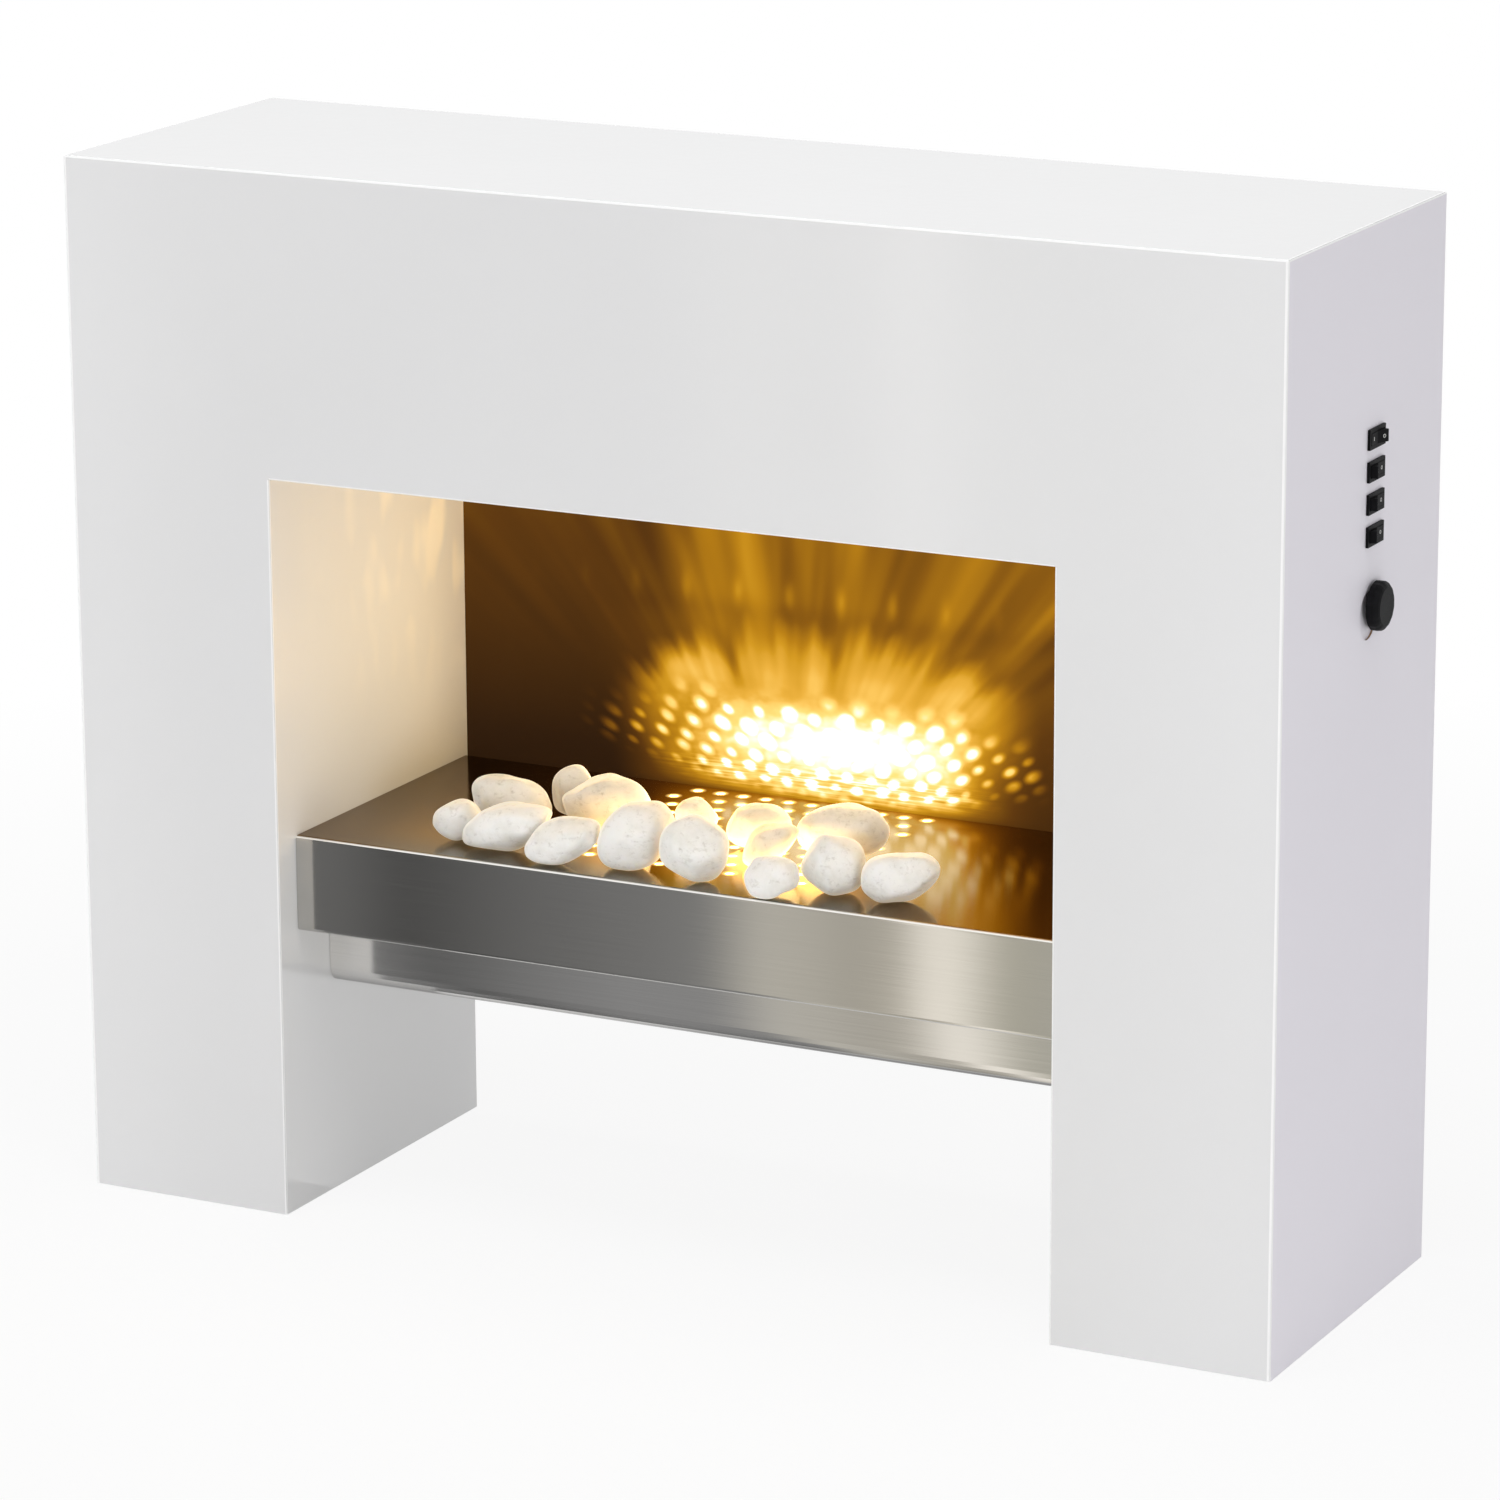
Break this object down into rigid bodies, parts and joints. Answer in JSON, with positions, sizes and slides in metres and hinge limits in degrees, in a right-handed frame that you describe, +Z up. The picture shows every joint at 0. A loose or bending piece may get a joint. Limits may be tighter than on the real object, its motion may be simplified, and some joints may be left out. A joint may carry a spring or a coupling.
{
  "type": "electric fireplace",
  "caption": "Free-standing electric fireplace: mitred portal surround, steel firebox with perforated pebble shelf, lamps, flame spinner, fan heater, side switches and thermostat.",
  "frame": {"origin": "on the floor, in the middle of the surround's width and depth", "axes": "+X to the right seen from the front, +Y to the back, +Z up"},
  "size_m": [1.012, 0.3, 0.82],
  "materials": {
    "lacquer": "gloss white lacquer on fibreboard",
    "fibreboard": "raw fibreboard",
    "brushed_steel": "brushed stainless",
    "galvanised_steel": "galvanised sheet",
    "aluminium": "bright rolled",
    "porcelain": "glazed porcelain",
    "lamp_glass": "warm clear lamp glass",
    "mica": "mica sheet and resistance ribbon",
    "beige_plastic": "moulded, matte",
    "black_plastic": "moulded black",
    "quartz": "tumbled white quartz"
  },
  "bodies": {
    "cabinet": {"front_panel": "lacquer", "top_panel": "lacquer", "left_side_panel": "lacquer", "right_side_panel": "lacquer", "left_cheek": "lacquer", "right_cheek": "lacquer", "soffit_panel": "lacquer", "left_foot_panel": "fibreboard", "right_foot_panel": "fibreboard", "left_back_cover": "fibreboard", "right_back_cover": "fibreboard", "header_back_cover": "fibreboard", "fireback": "brushed_steel", "shelf_tray": "brushed_steel", "lower_box": "brushed_steel", "lamp_rail": "galvanised_steel", "spinner_motor": "galvanised_steel", "heater_housing": "galvanised_steel", "fan_motor": "galvanised_steel", "thermostat_plate": "galvanised_steel", "outlet_grille": "aluminium", "left_lamp_holder": "porcelain", "right_lamp_holder": "porcelain", "left_lamp": "lamp_glass", "right_lamp": "lamp_glass", "heating_element": "mica", "spinner_bush": "beige_plastic", "fan_bearing": "beige_plastic", "thermostat_body": "beige_plastic", "terminal_block": "beige_plastic", "switch_1_body": "black_plastic", "switch_2_body": "black_plastic", "switch_3_body": "black_plastic", "switch_4_body": "black_plastic", "cable_gland": "black_plastic", "pebble_01": "quartz", "pebble_02": "quartz", "pebble_03": "quartz", "pebble_04": "quartz", "pebble_05": "quartz", "pebble_06": "quartz", "pebble_07": "quartz", "pebble_08": "quartz", "pebble_09": "quartz", "pebble_10": "quartz", "pebble_11": "quartz", "pebble_12": "quartz", "pebble_13": "quartz", "pebble_14": "quartz", "pebble_15": "quartz"},
    "spinner": {"flame_spinner": "aluminium"},
    "impeller": {"fan_impeller": "aluminium"},
    "knob": {"thermostat_knob": "black_plastic"},
    "rocker_1": {"switch_1_rocker": "black_plastic"},
    "rocker_2": {"switch_2_rocker": "black_plastic"},
    "rocker_3": {"switch_3_rocker": "black_plastic"},
    "rocker_4": {"switch_4_rocker": "black_plastic"}
  },
  "joints": [
    {"name": "spinner_turn", "type": "hinge", "parent": "cabinet", "child": "spinner", "pos_m": [0, 0.11, 0.25], "axis": [1, 0, 0], "continuous": true},
    {"name": "impeller_turn", "type": "hinge", "parent": "cabinet", "child": "impeller", "pos_m": [0, -0.05, 0.71], "axis": [1, 0, 0], "continuous": true},
    {"name": "knob_turn", "type": "hinge", "parent": "cabinet", "child": "knob", "pos_m": [0.5, 0.018, 0.5395], "axis": [1, 0, 0], "range_deg": [-270, 0]},
    {"name": "rocker_1_tilt", "type": "hinge", "parent": "cabinet", "child": "rocker_1", "pos_m": [0.498, 0.018, 0.6635], "axis": [0, 0, 1], "range_deg": [0, 22]},
    {"name": "rocker_2_tilt", "type": "hinge", "parent": "cabinet", "child": "rocker_2", "pos_m": [0.498, 0.018, 0.6397], "axis": [0, 0, 1], "range_deg": [-22, 0]},
    {"name": "rocker_3_tilt", "type": "hinge", "parent": "cabinet", "child": "rocker_3", "pos_m": [0.498, 0.018, 0.6159], "axis": [0, 0, 1], "range_deg": [-22, 0]},
    {"name": "rocker_4_tilt", "type": "hinge", "parent": "cabinet", "child": "rocker_4", "pos_m": [0.498, 0.018, 0.5921], "axis": [0, 0, 1], "range_deg": [-22, 0]}
  ]
}
